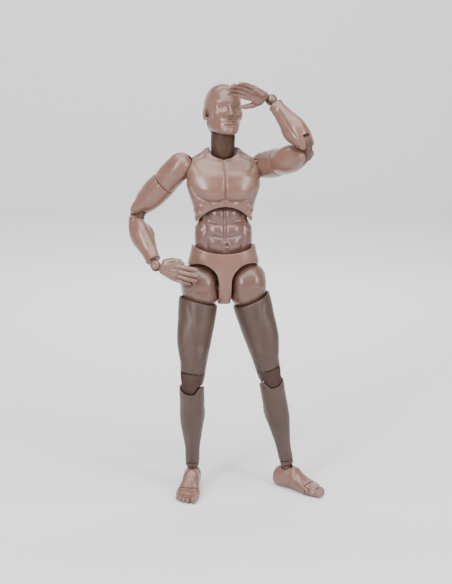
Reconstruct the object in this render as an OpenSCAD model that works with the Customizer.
// Articulated male figure body, 1:6 scale, standing with one hand on the hip and one at the brow.
// Millimetres, +Z up, the figure faces -Y and its own left side is +X.

/* [Body proportions] */
// Height of the hip axis above the sole
hip_height = 156; // [155.5:0.1:156.5]
// Hip joint to the middle of the body
hip_half = 17; // [16.8:0.1:17.4]
// Hip axis to upper knee pin, and lower knee pin to ankle pin
leg_len = 67.7; // [67.6:0.1:69]
// Distance between the two pins of a knee
knee_link_len = 10; // [9.8:0.1:10.5]
// Height of the ankle pin above the sole
ankle_height = 15; // [14.8:0.1:15.2]
// Shoulder joint to the middle of the body
shoulder_half = 29.5; // [29:0.1:31]
// Shoulder joint to upper elbow pin
upper_arm_len = 45.5; // [45:0.1:47]
// Distance between the two pins of an elbow
elbow_link_len = 9; // [8.9:0.1:9.4]
// Lower elbow pin to wrist pin
forearm_len = 38.5; // [38:0.1:40]

/* [Fits] */
// Radial clearance of a pin or stem that turns in its hole
running = 0.05; // [0.02:0.01:0.1]
// Gap between shells that move past each other
gap = 0.5; // [0.4:0.05:0.6]
// Radius of the hip pins and knee pins
leg_pin_r = 1.5; // [1.2:0.1:1.6]
// Radius of the shoulder pins and elbow pins
arm_pin_r = 1.2; // [1:0.1:1.3]
// Radius of the wrist pins and ankle pins
small_pin_r = 0.8; // [0.7:0.05:0.9]

/* [Torso pose] */
// Turn of the waist peg in the pelvis, degrees
waist_turn = 0; // [-4:1:4]
// Lean of the abdomen on the pelvis, forwards positive
waist_bend = -4; // [-6:1:2]
// Lean of the chest on the abdomen
chest_bend = 3; // [0:1:5]
// Turn of the chest on the spine peg
chest_turn = 0; // [-3:1:3]
// Lean of the neck on the chest
neck_lean = 11; // [8:1:13]
// Nod of the head on the neck
head_nod = -20; // [-22:1:-10]
// Turn of the head to its left
head_turn = 12; // [0:1:15]

/* [Arm pose, right then left] */
// Shoulder swing, forwards positive
shoulder_swing = [-22.6, 102.2]; // [-30:1:105]
// Shoulder raise, outwards positive
shoulder_raise = [40.7, 28.3]; // [25:1:45]
// Twist of the biceps against the deltoid
arm_twist = [-33.8, -22.6]; // [-40:1:0]
// Bend at each of the two elbow pins
elbow_bend = [40.9, 59.4]; // [35:1:60]
// Twist of the wrist peg in the forearm
wrist_twist = [-26.4, 82.6]; // [-30:1:90]
// Bend of the hand on the wrist peg
wrist_bend = [-44.1, 51.7]; // [-50:1:55]
// Twist of the hand on its peg
hand_twist = [38.4, -88.1]; // [-95:1:45]

/* [Leg pose, right then left] */
// Ankle pin outwards from the middle of the body
foot_out = [22.8, 48.3]; // [20:0.1:50]
// Ankle pin behind the hip axis
foot_back = [5.3, -0.3]; // [-2:0.1:7]
// Direction that the knee points, outwards positive
knee_out = [14.3, 7.3]; // [5:1:16]
// Direction that the foot points, outwards positive
foot_turn = [13, 47]; // [5:1:50]

/* [Place] */
// Hip centre from the middle of the figure's bounding box
stand = [-3.8, 9.6]; // [-10:0.1:10]

/* [Hidden] */
SIDES = ["right", "left"];
ARM_PARTS = ["shoulder_knuckle", "shoulder_pin", "deltoid", "biceps", "elbow_link", "elbow_pins",
             "forearm", "wrist_peg", "wrist_pin", "hand_peg", "hand"];
LEG_PARTS = ["hip_yoke", "hip_pin", "hip_cap", "thigh", "knee_link", "knee_pins",
             "shin", "ankle_peg", "ankle_pin", "foot_knuckle", "foot", "toes"];
TORSO_PARTS = ["head", "head_peg", "neck", "neck_peg", "chest_front", "chest_back", "chest_screws",
               "spine_peg", "abdomen", "waist_peg", "pelvis_front", "pelvis_back", "pelvis_screws"];

$fn = 40;
far = 60;              // longer than any cut needs
skin_sides = 20;       // corners of a limb's section

// Plastic colours
tan = "#b5978b";
tan_dark = "#8f7468";
tan_knee = "#7d665c";
pin_tan = "#a88a7d";
steel = "#9a9a9e";

// Torso sizes
waist_up = 28;         // hip axis to the waist ball
spine_back = 2;        // the spine's line behind the hip axis
abdomen_len = 17;      // waist ball to the spine ball
shoulder_up = 39;      // spine ball to the shoulder line
shoulder_back = 0.8;   // shoulder line behind the spine ball
neck_up = 42;          // spine ball to the neck ball
neck_len = 18;         // neck ball to the head ball
spine_ball_r = 5.5;
neck_ball_r = 4.4;
stem_r = 2.5;          // stems of the spine, neck and ankle pegs
neck_stem_r = 2;

// Shoulder and elbow sizes
deltoid_r = 9.4;       // reach of its round top from the shoulder joint
deltoid_len = 18;      // shoulder to the seam between deltoid and biceps
shoulder_eye_r = 4.6;
shoulder_stem_r = 2.4;
biceps_stem_r = 3;
eye_half = 2.6;        // half thickness of a knuckle's eye
elbow_knob_r = 4.4;
elbow_plate_half = 2.5;

// Wrist sizes
wrist_ball_r = 4.1;
wrist_stem_r = 1.8;
wrist_tongue_half = 1.3;
forearm_end = 4.4;     // forearm's end above the wrist pin

// Hip and knee sizes
hip_cap_r = 14.4;      // the cap's radius round the hip axis
hip_cap_half = 11.8;   // half of its width
cup_ball_r = 11;       // ball under the cap, in the thigh's cup
cup_ball_down = 7;
hip_eye_r = 5;
hip_stem_r = 2.6;
thigh_stem_r = 3.5;
arch_r = 14;           // leg arch of the pelvis
arch_out = 18.5;       // its centre outwards and above the hip axis
arch_up = 2;
panel_half = 4.5;      // half width of the pelvis between the legs
knee_cheek_r = 4.5;
knee_plate_r = 7.4;
knee_plate_half = 4.2;
knee_cap_r = 7.8;
knee_cut_r = knee_cap_r + gap;
thigh_lip = 3.5;       // front edge of the thigh above the upper pin
shin_lip = -0.5;       // front edge of the shin above the lower pin

// Ankle and foot sizes
ankle_ball_r = 4.1;
ankle_tongue_half = 1.5;
ankle_tongue_r = 2.9;
foot_stem_r = 1.2;
toe_hinge_ahead = 20.5;
toe_hinge_r = 3.3;
toe_hinge_down = ankle_height - toe_hinge_r;
toe_tongue_half = 6;
toe_stub_r = 1;
toe_ear_r = 2.6;

// ---------------------------------------------------------------- frames

function turn_x(a) = [[1, 0, 0, 0], [0, cos(a), -sin(a), 0], [0, sin(a), cos(a), 0], [0, 0, 0, 1]];
function turn_y(a) = [[cos(a), 0, sin(a), 0], [0, 1, 0, 0], [-sin(a), 0, cos(a), 0], [0, 0, 0, 1]];
function turn_z(a) = [[cos(a), -sin(a), 0, 0], [sin(a), cos(a), 0, 0], [0, 0, 1, 0], [0, 0, 0, 1]];
function move(v) = [[1, 0, 0, v[0]], [0, 1, 0, v[1]], [0, 0, 1, v[2]], [0, 0, 0, 1]];
function unit(v) = v / norm(v);
function axes(x, y, z) = [[x[0], y[0], z[0], 0], [x[1], y[1], z[1], 0], [x[2], y[2], z[2], 0], [0, 0, 0, 1]];
function transposed(m) = [for (i = [0:3]) [for (j = [0:3]) m[j][i]]];

// Side 0 is the right, a mirror image of side 1, the left.
MIRROR = [[-1, 0, 0, 0], [0, 1, 0, 0], [0, 0, 1, 0], [0, 0, 0, 1]];
function facing(side) = side == 0 ? MIRROR : move([0, 0, 0]);

PELVIS = move([stand[0], stand[1], hip_height]);
WAIST_PEG = PELVIS * move([0, spine_back, waist_up]) * turn_z(waist_turn);
ABDOMEN = WAIST_PEG * turn_x(waist_bend);
SPINE_PEG = ABDOMEN * move([0, 0, abdomen_len]) * turn_x(chest_bend);
CHEST = SPINE_PEG * turn_z(chest_turn);
NECK_PEG = CHEST * move([0, spine_back, neck_up]) * turn_x(neck_lean);
NECK = NECK_PEG;
HEAD_PEG = NECK * move([0, 0, neck_len]) * turn_x(head_nod);
HEAD = HEAD_PEG * turn_z(head_turn);

function shoulder(s) = CHEST * facing(s) * move([shoulder_half, shoulder_back, shoulder_up]);
function knuckle(s) = shoulder(s) * turn_x(-shoulder_swing[s]);
function deltoid(s) = knuckle(s) * turn_y(-shoulder_raise[s]);
function biceps(s) = deltoid(s) * turn_z(arm_twist[s]);
function elbow_link(s) = biceps(s) * move([0, 0, -upper_arm_len]) * turn_x(-elbow_bend[s]);
function forearm(s) = elbow_link(s) * move([0, 0, -elbow_link_len]) * turn_x(-elbow_bend[s]);
function wrist_peg(s) = forearm(s) * move([0, 0, -forearm_len]) * turn_z(wrist_twist[s]);
function hand_peg(s) = wrist_peg(s) * turn_x(wrist_bend[s]);
function hand(s) = hand_peg(s) * turn_z(hand_twist[s]);

// The foot stands flat where foot_out and foot_back put it, and both knee pins bend by the same angle.
function leg_line(s) = [foot_out[s] - hip_half, foot_back[s], ankle_height - hip_height];
function half_bend(s) = acos((norm(leg_line(s)) - knee_link_len) / (2 * leg_len));
function leg_up(s) = -unit(leg_line(s));
function leg_right(s) = unit(cross([-sin(knee_out[s]), cos(knee_out[s]), 0], leg_up(s)));
function leg_axes(s) = axes(leg_right(s), cross(leg_up(s), leg_right(s)), leg_up(s));
function thigh_axes(s) = leg_axes(s) * turn_x(-half_bend(s));
function shin_axes(s) = leg_axes(s) * turn_x(half_bend(s));

function hip_swing(s) = atan2(-thigh_axes(s)[1][2], thigh_axes(s)[2][2]);
function hip_spread(s) = asin(thigh_axes(s)[0][2]);
function thigh_twist(s) = atan2(-thigh_axes(s)[0][1], thigh_axes(s)[0][0]);
function foot_axes(s) = transposed(shin_axes(s)) * turn_z(foot_turn[s]);
function ankle_bend(s) = asin(foot_axes(s)[2][1]);
function ankle_roll(s) = atan2(-foot_axes(s)[2][0], foot_axes(s)[2][2]);
function ankle_twist(s) = atan2(-foot_axes(s)[0][1], foot_axes(s)[1][1]);

function hip_yoke(s) = PELVIS * facing(s) * move([hip_half, 0, 0]) * turn_x(hip_swing(s));
function hip_cap(s) = hip_yoke(s) * turn_y(hip_spread(s));
function thigh(s) = hip_cap(s) * turn_z(thigh_twist(s));
function knee_link(s) = thigh(s) * move([0, 0, -leg_len]) * turn_x(half_bend(s));
function shin(s) = knee_link(s) * move([0, 0, -knee_link_len]) * turn_x(half_bend(s));
function ankle_peg(s) = shin(s) * move([0, 0, -leg_len]) * turn_z(ankle_twist(s));
function foot_knuckle(s) = ankle_peg(s) * turn_x(ankle_bend(s));
function foot(s) = foot_knuckle(s) * turn_y(ankle_roll(s));
function toes(s) = foot(s) * move([0, -toe_hinge_ahead, -toe_hinge_down]);

// ---------------------------------------------------------------- shapes

// One corner of a rounded section: a power below 1 makes the oval squarer.
function bent(v, power) = sign(v) * pow(abs(v), power);
function corner(st, a) = [st[1] + st[3] * bent(cos(a), st[5]), st[2] + st[4] * bent(sin(a), st[5]), st[0]];

// Closed skin through oval sections: [height, centre x, centre y, half x, half y, power], going up.
module skin(stations, sides = skin_sides) {
    rings = len(stations);
    points = [for (st = stations) for (i = [0:sides - 1]) corner(st, 360 * (i + 0.5) / sides)];
    walls = [for (r = [0:rings - 2]) for (i = [0:sides - 1])
        let (a = r * sides + i, b = r * sides + (i + 1) % sides)
        each [[a, a + sides, b], [b, a + sides, b + sides]]];
    floor_face = [[for (i = [0:sides - 1]) i]];
    roof_face = [[for (i = [sides - 1:-1:0]) (rings - 1) * sides + i]];
    polyhedron(points, concat(walls, floor_face, roof_face), convexity = 4);
}

// Round bars through a point, along X or Y, and a bar that goes from one X to another.
module bar_x(r, half) {
    rotate([0, 90, 0]) cylinder(r = r, h = 2 * half, center = true);
}

module bar_y(r, half) {
    rotate([90, 0, 0]) cylinder(r = r, h = 2 * half, center = true);
}

module reach_x(r, from, to) {
    translate([from, 0, 0]) rotate([0, 90, 0]) rotate([0, 0, 7]) cylinder(r = r, h = to - from);
}

module post(r, from, to) {
    translate([0, 0, from]) cylinder(r = r, h = to - from);
}

module block(x, y, z) {
    translate([x[0], y[0], z[0]]) cube([x[1] - x[0], y[1] - y[0], z[1] - z[0]]);
}

// Two rounds and the block between them, seen from the side, as in a double joint's link.
module slab(r, half, length) {
    bar_x(r, half);
    translate([0, 0, -length]) bar_x(r, half);
    block([-half, half], [-r, r], [-length, 0]);
}

// Slot for a knuckle's eye, with room for its stem, which comes in from -X, from one angle to another.
module eye_slot(eye_r, stem_r, half, reach, from, to) {
    w = stem_r + gap / 2;
    fan = [for (a = [from:(to - from) / 6:to]) [-reach * cos(a), reach * sin(a)]];
    first = [w * sin(from), w * cos(from)];
    last = [w * sin(to), w * cos(to)];
    bar_y(eye_r + gap, half + gap / 2);
    rotate([90, 0, 0]) linear_extrude(2 * half + gap, center = true)
        polygon(concat([-first, fan[0] - first], fan, [fan[6] + last, last]));
}

// Peg with a ball and a stem, pointing up or down.
module ball_peg(ball_r, stem_r, length) {
    sphere(r = ball_r);
    post(stem_r, length > 0 ? 0 : length, length > 0 ? length : 0);
}

// ---------------------------------------------------------------- torso

SKULL = [[-1.2, 0, -14, 4.4, 4, 1], [1, 0, -11, 7, 7.4, 0.95], [5, 0, -6, 9.4, 12.6, 0.95],
         [10, 0, -3.5, 10.8, 14.8, 0.95],
         [16, 0, -2.4, 11.8, 16, 0.95], [22, 0, -1.8, 12.5, 16.4, 0.95], [28, 0, -1.6, 11.8, 15.4, 1],
         [32, 0, -1.4, 9.4, 12.4, 1], [35, 0, -1.2, 5.6, 7.6, 1], [36, 0, -1, 2, 3, 1]];

module head() {
    color(tan) multmatrix(HEAD) difference() {
        skin(SKULL);
        // room for the top of the neck
        sphere(r = 8.9);
        translate([0, 1, -8]) cylinder(r1 = 11.5, r2 = 8.4, h = 9);
        post(neck_stem_r + running, 0, 16);
    }
}

module head_peg() {
    color(pin_tan) multmatrix(HEAD_PEG) ball_peg(neck_ball_r, neck_stem_r, 15.5);
}

NECK_SKIN = [[2.4, 0, 0, 7, 7, 1], [5.5, 0, 0, 8, 8.2, 1], [11, 0, 0.2, 8.3, 8.8, 1],
             [16.5, 0, 0, 7.9, 8.2, 1], [19.5, 0, 0, 7.4, 7.5, 1], [21, 0, 0, 6.6, 6.7, 1]];

module neck() {
    color(tan_dark) multmatrix(NECK) difference() {
        skin(NECK_SKIN);
        sphere(r = neck_ball_r + gap);
        translate([0, 0, neck_len]) sphere(r = neck_ball_r + running);
        translate([0, 0, neck_len + 0.8]) cylinder(r1 = 3.6, r2 = 6.2, h = 3);
        post(neck_stem_r + running, 0, 11.5);
    }
}

module neck_peg() {
    color(pin_tan) multmatrix(NECK_PEG) ball_peg(neck_ball_r, neck_stem_r, 11);
}

CHEST_SKIN = [[-2.5, 0, -3, 19.2, 11.2, 0.8], [4, 0, -3.2, 20.2, 12, 0.8], [12, 0, -3.4, 22, 13, 0.8],
              [20, 0, -3.4, 24.8, 14, 0.8], [26, 0, -3.2, 26, 14.2, 0.8], [34, 0, -2.6, 26, 13.2, 0.8],
              [40, 0, -1, 25.4, 11, 0.8], [44, 0, 0.6, 22, 9.8, 0.9], [47, 0, 1.6, 14, 9, 1],
              [48.5, 0, 2, 11.4, 8.8, 1]];
CHEST_SPLIT = 0;       // the two shells meet on the spine's line
chest_arch_r = 22.1;
chest_arch_top = 10.7;
CHEST_SCREWS = [[-14, 28], [14, 28], [-14, 14], [14, 14]];
screw_r = 1;
screw_head_r = 1.8;
chest_screw_back = 8.5;
screw_len = 13;

module chest_solid() {
    difference() {
        skin(CHEST_SKIN);
        translate([0, 0, chest_arch_top - chest_arch_r]) bar_y(chest_arch_r, far);
        // room for the top of the abdomen
        skin([[-8, 0, -1.6, 18.4, 11, 0.9], [4, 0, -1.6, 18.6, 11.2, 0.9], [9.5, 0, -1.6, 17.4, 10.4, 0.95],
              [13.5, 0, -1.6, 13, 8, 1], [15.5, 0, -1.6, 7, 5, 1]]);
        post(stem_r + running, 0, 26);
        // collar and neck socket
        translate([0, spine_back, neck_up]) sphere(r = neck_ball_r + running);
        translate([0, spine_back, neck_up + 0.2]) cylinder(r1 = 8.6, r2 = 13.4, h = 8);
        for (s = [0, 1]) multmatrix(facing(s)) translate([shoulder_half, shoulder_back, shoulder_up]) {
            sphere(r = deltoid_r + gap);
            reach_x(shoulder_stem_r + running, -17, 0);
        }
        for (at = CHEST_SCREWS) translate([at[0], 0, at[1]]) {
            rotate([-90, 0, 0]) translate([0, 0, chest_screw_back - screw_len])
                cylinder(r = screw_r, h = screw_len);
            rotate([-90, 0, 0]) translate([0, 0, chest_screw_back - 1.4])
                cylinder(r = screw_head_r + running, h = 8);
        }
    }
}

module chest_front() {
    color(tan) multmatrix(CHEST) intersection() {
        chest_solid();
        block([-far, far], [-far, CHEST_SPLIT], [-far, far]);
    }
}

module chest_back() {
    color(tan) multmatrix(CHEST) intersection() {
        chest_solid();
        block([-far, far], [CHEST_SPLIT, far], [-far, far]);
    }
}

module screw(head_back) {
    rotate([-90, 0, 0]) {
        translate([0, 0, head_back - screw_len + 0.5]) cylinder(r = screw_r - 0.02, h = screw_len - 0.5);
        difference() {
            translate([0, 0, head_back - 1.4]) cylinder(r = screw_head_r, h = 1.4);
            for (a = [0, 90]) rotate([0, 0, a]) translate([-1.2, -0.25, head_back - 0.7]) cube([2.4, 0.5, 1]);
        }
    }
}

module chest_screws() {
    color(steel) multmatrix(CHEST) for (at = CHEST_SCREWS)
        translate([at[0], 0, at[1]]) screw(chest_screw_back);
}

module spine_peg() {
    color(pin_tan) multmatrix(SPINE_PEG) ball_peg(spine_ball_r, stem_r, 25);
}

ABDOMEN_SKIN = [[-13, 0, -1.4, 8, 6, 1], [-10.5, 0, -1.5, 12.6, 8.6, 1], [-6, 0, -1.8, 17.2, 10.4, 1],
                [-1, 0, -2, 19.6, 11.6, 1], [3, 0, -2, 20.4, 12.2, 0.9], [8, 0, -2.2, 20.6, 12.6, 0.85],
                [13, 0, -2, 20.2, 12.2, 0.85], [17, 0, -1.8, 17.2, 10, 1], [23, 0, -1.6, 16.4, 9.4, 1],
                [28, 0, -1.6, 11.6, 7, 1], [30.5, 0, -1.6, 5.6, 4, 1]];

module abdomen() {
    color(tan) multmatrix(ABDOMEN) difference() {
        skin(ABDOMEN_SKIN);
        sphere(r = spine_ball_r + running);
        translate([0, 0, -15]) cylinder(r1 = 8, r2 = 4, h = 12);
        translate([0, 0, abdomen_len]) sphere(r = spine_ball_r + running);
        translate([0, 0, abdomen_len + 3]) cylinder(r1 = 4, r2 = 8, h = 12);
    }
}

module waist_peg() {
    color(pin_tan) multmatrix(WAIST_PEG) ball_peg(spine_ball_r, stem_r, -22);
}

PELVIS_SKIN = [[-14, 0, -0.5, 5.6, 6, 0.9], [-11, 0, -0.4, 7.6, 9, 0.9], [-2, 0, 0.2, 16, 13.2, 0.9],
               [6, 0, 0.8, 24, 15.2, 0.85], [13, 0, 0.8, 25.8, 15.8, 0.85], [20, 0, 0.4, 24.4, 15.2, 0.85],
               [30, 0, 0, 22.6, 14.2, 0.85]];
pelvis_dip_r = 48.8;
pelvis_dip = 23;
PELVIS_SCREWS = [[-20.2, 17], [20.2, 17], [0, -8]];
pelvis_screw_back = 9;

module pelvis_solid() {
    difference() {
        skin(PELVIS_SKIN);
        translate([0, 0, pelvis_dip + pelvis_dip_r]) bar_y(pelvis_dip_r, far);
        // bowl for the foot of the abdomen
        skin([[13, 0, 0, 9.5, 7.5, 1], [16, 0, -0.2, 14.6, 10.2, 0.95], [21, 0, -0.2, 18.8, 12, 0.9],
              [28, 0, -0.2, 21.2, 13, 0.85], [40, 0, -0.2, 21.6, 13.4, 0.85]]);
        translate([0, spine_back, 0]) post(stem_r + running, 5.4, 24);
        for (s = [0, 1]) multmatrix(facing(s)) {
            translate([arch_out, 0, arch_up]) bar_y(arch_r, far);
            block([panel_half, far], [-far, far], [-far, arch_up]);
            reach_x(hip_stem_r + running, 0.3, 12);
        }
        for (at = PELVIS_SCREWS) translate([at[0], 0, at[1]]) {
            rotate([-90, 0, 0]) translate([0, 0, pelvis_screw_back - screw_len])
                cylinder(r = screw_r, h = screw_len);
            rotate([-90, 0, 0]) translate([0, 0, pelvis_screw_back - 1.4])
                cylinder(r = screw_head_r + running, h = 10);
        }
    }
}

module pelvis_front() {
    color(tan) multmatrix(PELVIS) intersection() {
        pelvis_solid();
        block([-far, far], [-far, 0], [-far, far]);
    }
}

module pelvis_back() {
    color(tan) multmatrix(PELVIS) intersection() {
        pelvis_solid();
        block([-far, far], [0, far], [-far, far]);
    }
}

module pelvis_screws() {
    color(steel) multmatrix(PELVIS) for (at = PELVIS_SCREWS)
        translate([at[0], 0, at[1]]) screw(pelvis_screw_back);
}

// ---------------------------------------------------------------- arms

module shoulder_knuckle(s) {
    color(pin_tan) multmatrix(knuckle(s)) difference() {
        union() {
            reach_x(shoulder_stem_r, -16.6, -1);
            bar_y(shoulder_eye_r, eye_half);
        }
        bar_y(arm_pin_r + running, far);
    }
}

module shoulder_pin(s) {
    color(pin_tan) multmatrix(deltoid(s)) bar_y(arm_pin_r, 8.6);
}

DELTOID_SKIN = [[-deltoid_len, 0.2, 0, 8.1, 8.6, 1], [-12, 0.9, 0, 8.3, 9.2, 1], [-5, 0.8, 0, 8.4, 9.3, 1],
                [0, 0, 0, 9.3, 9.3, 1], [3.6, 0, 0, 8.6, 8.6, 1], [6.6, 0, 0, 6.6, 6.6, 1],
                [8.6, 0, 0, 3.6, 3.6, 1], [9.3, 0, 0, 1, 1, 1]];

module deltoid_shell(s) {
    color(tan) multmatrix(deltoid(s)) difference() {
        skin(DELTOID_SKIN);
        eye_slot(shoulder_eye_r, shoulder_stem_r, eye_half, far, -8, 80);
        bar_y(arm_pin_r, 8.6);
        post(biceps_stem_r + running, -deltoid_len - 1, -deltoid_len + 7.4);
    }
}

BICEPS_SKIN = [[-upper_arm_len - 4.3, 0, 0, 4.4, 1.6, 1], [-upper_arm_len - 3, 0, 0.2, 5.6, 3.3, 1],
               [-upper_arm_len, 0, 0.5, 6.6, 4.9, 1], [-upper_arm_len + 4, 0, 0.3, 7, 6.2, 1],
               [-upper_arm_len + 9, 0, -0.2, 7.4, 7.8, 1], [-29, 0, -0.4, 7.8, 9, 1],
               [-23, 0, -0.2, 8.2, 9, 1], [-deltoid_len - gap, 0, 0, 8.2, 8.7, 1]];

module biceps_piece(s) {
    color(tan) multmatrix(biceps(s)) difference() {
        union() {
            skin(BICEPS_SKIN);
            post(biceps_stem_r, -deltoid_len - 2, -deltoid_len + 7);
        }
        translate([0, 0, -upper_arm_len]) {
            bar_x(elbow_knob_r + gap, elbow_plate_half + gap / 2);
            block([-elbow_plate_half - gap / 2, elbow_plate_half + gap / 2],
                  [-far, far], [-8, 3]);
            bar_x(arm_pin_r + running, far);
        }
    }
}

module elbow_link_piece(s) {
    color(pin_tan) multmatrix(elbow_link(s)) difference() {
        slab(elbow_knob_r - 0.2, elbow_plate_half, elbow_link_len);
        bar_x(arm_pin_r, far);
        translate([0, 0, -elbow_link_len]) bar_x(arm_pin_r, far);
    }
}

module elbow_pins(s) {
    color(pin_tan) multmatrix(elbow_link(s)) for (down = [0, elbow_link_len])
        translate([0, 0, -down]) bar_x(arm_pin_r, 6.2);
}

FOREARM_SKIN = [[-forearm_len + forearm_end, 0, 0, 4.7, 4.9, 1], [-28, 0, 0, 5.2, 5.6, 1],
                [-20, 0.2, 0, 6.6, 7, 1], [-11, 0.3, 0.2, 7.6, 8.2, 1], [-5, 0.2, 0.4, 7.4, 6.8, 1],
                [0, 0, 0.5, 6.6, 4.9, 1], [3, 0, 0.2, 5.6, 3.3, 1], [4.3, 0, 0, 4.4, 1.6, 1]];

module forearm_piece(s) {
    color(tan) multmatrix(forearm(s)) difference() {
        skin(FOREARM_SKIN);
        bar_x(elbow_knob_r + gap, elbow_plate_half + gap / 2);
        block([-elbow_plate_half - gap / 2, elbow_plate_half + gap / 2], [-far, far], [-3, 8]);
        bar_x(arm_pin_r + running, far);
        translate([0, 0, -forearm_len]) post(wrist_stem_r + running, 0, 14.4);
    }
}

module wrist_peg_piece(s) {
    color(pin_tan) multmatrix(wrist_peg(s)) {
        difference() {
            sphere(r = wrist_ball_r);
            block([-wrist_tongue_half - 0.3, wrist_tongue_half + 0.3], [-far, far], [-far, 2.9]);
            bar_x(small_pin_r, far);
        }
        post(wrist_stem_r, 3.2, 14);
    }
}

module wrist_pin(s) {
    color(pin_tan) multmatrix(wrist_peg(s)) bar_x(small_pin_r, 3.9);
}

module hand_peg_piece(s) {
    color(pin_tan) multmatrix(hand_peg(s)) difference() {
        union() {
            bar_x(2.5, wrist_tongue_half);
            intersection() {
                post(wrist_stem_r - 0.2, -11, 0);
                union() {
                    block([-wrist_tongue_half, wrist_tongue_half], [-3, 3], [-5, 0]);
                    block([-3, 3], [-3, 3], [-far, -4.6]);
                }
            }
        }
        bar_x(small_pin_r + running, far);
    }
}

// Palm and fingers hang along -Z; the palm faces -X and the thumb is on the -Y side.
PALM_SKIN = [[-19, 0, 0.2, 1.8, 6.2, 0.9], [-16.5, 0, 0.1, 2.5, 6.7, 0.9], [-12, 0, 0, 3, 6.6, 0.95],
             [-8, 0, 0, 3.3, 5.6, 1], [-4.8, 0, 0, 3.1, 4.2, 1]];
FINGER_ROOTS = [[-4.9, -17, 13.4], [-1.7, -17.6, 15.2], [1.6, -17.3, 14.2], [4.8, -16, 11.6]];

module finger(root, curl) {
    translate([0, root[0], root[1]]) rotate([0, curl / 2, 0]) {
        skin([[-root[2], -curl / 18, 0, 0.8, 0.8, 1], [-root[2] + 1.2, -curl / 26, 0, 1.25, 1.3, 1],
              [-root[2] * 0.5, 0, 0, 1.5, 1.55, 1], [1.5, 0, 0, 1.7, 1.7, 1]], 10);
    }
}

module thumb(s) {
    // the right thumb lies under the palm, the left one stands off it
    lean = [[12, -8], [4, -33]];
    translate([-1, -3.4, -7.5]) rotate([lean[s][1], lean[s][0], 0])
        skin([[-15.4, 0, 0, 0.9, 0.9, 1], [-14, 0, 0, 1.5, 1.4, 1], [-8, 0, 0, 1.8, 1.7, 1],
              [-1, 0, 0, 2.2, 2.2, 1]], 10);
}

module hand_piece(s) {
    color(tan) multmatrix(hand(s)) difference() {
        union() {
            skin(PALM_SKIN);
            for (root = FINGER_ROOTS) finger(root, 10);
            thumb(s);
        }
        sphere(r = wrist_ball_r + gap);
        post(wrist_stem_r - 0.2 + running, -11.4, 0);
    }
}

// ---------------------------------------------------------------- legs

module hip_yoke_piece(s) {
    color(pin_tan) multmatrix(hip_yoke(s)) difference() {
        union() {
            reach_x(hip_stem_r, 0.6 - hip_half, -2);
            bar_y(hip_eye_r, eye_half);
        }
        bar_y(leg_pin_r + running, far);
    }
}

module hip_pin(s) {
    color(pin_tan) multmatrix(hip_cap(s)) bar_y(leg_pin_r, 11.4);
}

// Rings of a ball or drum, for skin: half its height, its radius, and the number of rings.
function rounds(half, r, rings) = [for (i = [1:rings])
    let (a = 180 * (i - 0.25) / (rings + 0.5)) [-half * cos(a), 0, 0, r * sin(a), r * sin(a), 1]];

module hip_cap_piece(s) {
    color(tan) multmatrix(hip_cap(s)) difference() {
        union() {
            rotate([0, 90, 0]) skin(rounds(hip_cap_half, hip_cap_r, 11), 24);
            translate([0, 0, -cup_ball_down]) skin(rounds(cup_ball_r, cup_ball_r, 10), 24);
        }
        eye_slot(hip_eye_r, hip_stem_r, eye_half, far, -12, 42);
        bar_y(leg_pin_r, 11.4);
        post(thigh_stem_r + running, -far, -9.5);
    }
}

THIGH_SKIN = [[-leg_len - 4.6, 0, 0.6, 7.4, 5, 0.9], [-leg_len, 0, 0.4, 8.5, 7.8, 0.9],
              [-leg_len + 6, 0, 0, 9, 9.2, 0.95], [-54, 0, -0.2, 9.8, 11, 1], [-42, 0, -0.2, 11.4, 12.8, 1],
              [-28, 0.6, 0, 13.1, 14.2, 1], [-16, 1, 0.2, 13.3, 14.6, 1], [-5, 1, 0.2, 13.1, 14.2, 1]];

// What a knee's cheek leaves free: the plate between the cheeks, the knee cap in front, and all that
// is past the pin apart from the round cheek itself. The other leg half is on the -Z side.
module knee_cut(lip) {
    plate_half = knee_plate_half + gap / 2;
    bar_x(knee_cut_r, plate_half);
    block([-plate_half, plate_half], [0, far], [-far, 5]);
    difference() {
        union() {
            intersection() {
                bar_x(knee_cut_r, far);
                block([-far, far], [-far, -0.6], [-far, far]);
            }
            block([-far, far], [-far, far], [-far, 0]);
            block([-far, far], [-far, -0.6], [-far, lip]);
        }
        bar_x(knee_cheek_r, far);
    }
    bar_x(leg_pin_r + running, far);
}

module thigh_piece(s) {
    color(tan_dark) multmatrix(thigh(s)) {
        difference() {
            skin(THIGH_SKIN);
            translate([0, 0, -cup_ball_down]) sphere(r = cup_ball_r + gap);
            translate([0, 0, -12]) rotate([7, -11, 0]) block([-far, far], [-far, far], [0, far]);
            translate([0, 0, -leg_len]) knee_cut(thigh_lip);
        }
        post(thigh_stem_r, -21, -10);
    }
}

module knee_link_piece(s) {
    color(tan_knee) multmatrix(knee_link(s)) difference() {
        union() {
            slab(knee_plate_r, knee_plate_half, knee_link_len);
            difference() {
                intersection() {
                    slab(knee_cap_r, 8.6, knee_link_len);
                    skin([[-20, 0, 0, 7.8, 8.6, 0.9], [-10, 0, 0, 8.6, 9.4, 0.9], [0, 0, 0, 8.6, 9.4, 0.9],
                          [10, 0, 0, 7.8, 8.6, 0.9]]);
                    block([-far, far], [-far, -1], [-far, far]);
                }
                slab(knee_cheek_r + 0.4, far, knee_link_len);
            }
        }
        bar_x(leg_pin_r, far);
        translate([0, 0, -knee_link_len]) bar_x(leg_pin_r, far);
    }
}

module knee_pins(s) {
    color(pin_tan) multmatrix(knee_link(s)) for (down = [0, knee_link_len])
        translate([0, 0, -down]) bar_x(leg_pin_r, 7.9);
}

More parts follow.
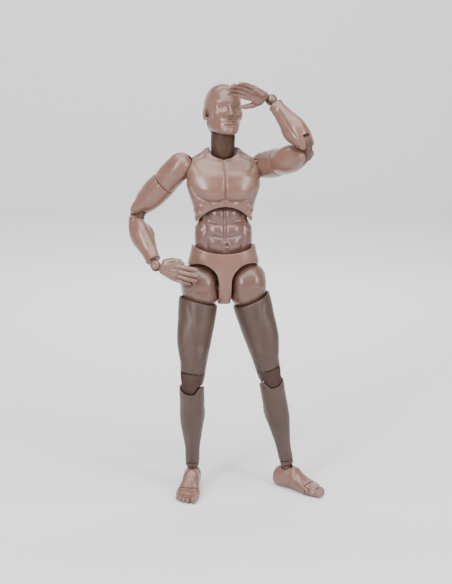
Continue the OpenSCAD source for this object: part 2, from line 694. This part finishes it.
shin_end = 7.7;        // shin's end above the ankle pin
SHIN_SKIN = [[-leg_len + shin_end, 0, 0.4, 5.2, 5.4, 1], [-50, 0, 0.8, 5.5, 6, 1],
             [-38, 0.2, 1.6, 7.2, 8, 1], [-25, 0.4, 2.2, 8.8, 9.6, 1], [-14, 0.2, 1.8, 9, 9.6, 1],
             [-6, 0, 1, 8.9, 9, 0.95], [0, 0, 0.4, 8.5, 7.8, 0.9], [4.6, 0, 0.6, 7.4, 5, 0.9]];

module shin_piece(s) {
    color(tan_dark) multmatrix(shin(s)) difference() {
        skin(SHIN_SKIN);
        mirror([0, 0, 1]) knee_cut(-shin_lip);
        translate([0, 0, -leg_len]) post(stem_r + running, 0, 17);
    }
}

module ankle_peg_piece(s) {
    color(tan) multmatrix(ankle_peg(s)) {
        post(stem_r, 6, 16.5);
        post(5, 4.1, shin_end - 0.3);
        difference() {
            union() {
                bar_x(ankle_tongue_r, ankle_tongue_half);
                block([-ankle_tongue_half, ankle_tongue_half], [-2.2, 2.2], [0, 5]);
            }
            bar_x(small_pin_r + running, far);
        }
    }
}

module ankle_pin(s) {
    color(pin_tan) multmatrix(foot_knuckle(s)) bar_x(small_pin_r, 3.9);
}

module foot_knuckle_piece(s) {
    color(pin_tan) multmatrix(foot_knuckle(s)) {
        difference() {
            sphere(r = ankle_ball_r);
            // slot for the tongue, with a web in front of it that carries the stem
            block([-ankle_tongue_half - 0.3, ankle_tongue_half + 0.3], [-3.2, far], [-3.2, far]);
            block([-ankle_tongue_half - 0.3, ankle_tongue_half + 0.3], [-far, far], [1.3, far]);
            bar_x(small_pin_r, far);
        }
        rotate([90, 0, 0]) post(foot_stem_r, 3.6, 6.4);
    }
}

// Foot sections go forwards from the heel: [ahead of the ankle, outwards, up, half width, half height].
FOOT_SKIN = [[-11.6, 0, -9.5, 3.4, 3.6, 0.9], [-9.6, 0, -8, 5, 6.6, 0.9], [-5, 0, -7, 5.9, 8.2, 0.9],
             [2, 0, -6.5, 6.3, 8.9, 0.9], [7, 0, -6.9, 6.7, 8.6, 0.9], [10.5, 0.1, -8.8, 7.1, 7, 0.9],
             [14.5, 0.2, -10.2, 7.8, 5.2, 0.85],
             [20, 0.2, -11.4, 8.4, 3.9, 0.8], [26, 0, -12.2, 8, 3, 0.8], [30, -0.4, -12.4, 6.8, 2.4, 0.8],
             [31.2, -0.6, -12.4, 5.2, 1.4, 0.8]];

module foot_solid() {
    intersection() {
        rotate([90, 0, 0]) skin(FOOT_SKIN);
        block([-far, far], [-far, far], [-ankle_height, far]);
    }
}

module foot_piece(s) {
    color(tan) multmatrix(foot(s)) difference() {
        foot_solid();
        sphere(r = ankle_ball_r + gap);
        cylinder(r1 = 3.8, r2 = 7.4, h = 5);
        rotate([90, 0, 0]) post(foot_stem_r + running, 4, 6.9);
        translate([0, -toe_hinge_ahead, -toe_hinge_down]) {
            bar_x(toe_hinge_r + gap, toe_tongue_half + gap);
            difference() {
                block([-far, far], [-far, 1.2], [-far, far]);
                for (side = [-1, 1]) translate([side * (toe_tongue_half + gap + far), 0, 0])
                    bar_x(toe_ear_r, far);
            }
            bar_x(toe_stub_r + running, far);
        }
    }
}

module toes_piece(s) {
    color(tan) multmatrix(toes(s)) {
        intersection() {
            translate([0, toe_hinge_ahead, toe_hinge_down]) foot_solid();
            union() {
                bar_x(toe_hinge_r, toe_tongue_half);
                block([-toe_tongue_half, toe_tongue_half], [-far, -1.6], [-far, far]);
                block([-far, far], [-far, -toe_ear_r - gap], [-far, far]);
            }
        }
        bar_x(toe_stub_r, 7.6);
    }
}

// ---------------------------------------------------------------- nodes

module torso_part(name) {
    if (name == "head") head();
    if (name == "head_peg") head_peg();
    if (name == "neck") neck();
    if (name == "neck_peg") neck_peg();
    if (name == "chest_front") chest_front();
    if (name == "chest_back") chest_back();
    if (name == "chest_screws") chest_screws();
    if (name == "spine_peg") spine_peg();
    if (name == "abdomen") abdomen();
    if (name == "waist_peg") waist_peg();
    if (name == "pelvis_front") pelvis_front();
    if (name == "pelvis_back") pelvis_back();
    if (name == "pelvis_screws") pelvis_screws();
}

module arm_part(name, s) {
    if (name == "shoulder_knuckle") shoulder_knuckle(s);
    if (name == "shoulder_pin") shoulder_pin(s);
    if (name == "deltoid") deltoid_shell(s);
    if (name == "biceps") biceps_piece(s);
    if (name == "elbow_link") elbow_link_piece(s);
    if (name == "elbow_pins") elbow_pins(s);
    if (name == "forearm") forearm_piece(s);
    if (name == "wrist_peg") wrist_peg_piece(s);
    if (name == "wrist_pin") wrist_pin(s);
    if (name == "hand_peg") hand_peg_piece(s);
    if (name == "hand") hand_piece(s);
}

module leg_part(name, s) {
    if (name == "hip_yoke") hip_yoke_piece(s);
    if (name == "hip_pin") hip_pin(s);
    if (name == "hip_cap") hip_cap_piece(s);
    if (name == "thigh") thigh_piece(s);
    if (name == "knee_link") knee_link_piece(s);
    if (name == "knee_pins") knee_pins(s);
    if (name == "shin") shin_piece(s);
    if (name == "ankle_peg") ankle_peg_piece(s);
    if (name == "ankle_pin") ankle_pin(s);
    if (name == "foot_knuckle") foot_knuckle_piece(s);
    if (name == "foot") foot_piece(s);
    if (name == "toes") toes_piece(s);
}

for (name = TORSO_PARTS) torso_part(name);
for (s = [0, 1]) for (name = ARM_PARTS)
    arm_part(name, s);
for (s = [0, 1]) for (name = LEG_PARTS)
    leg_part(name, s);
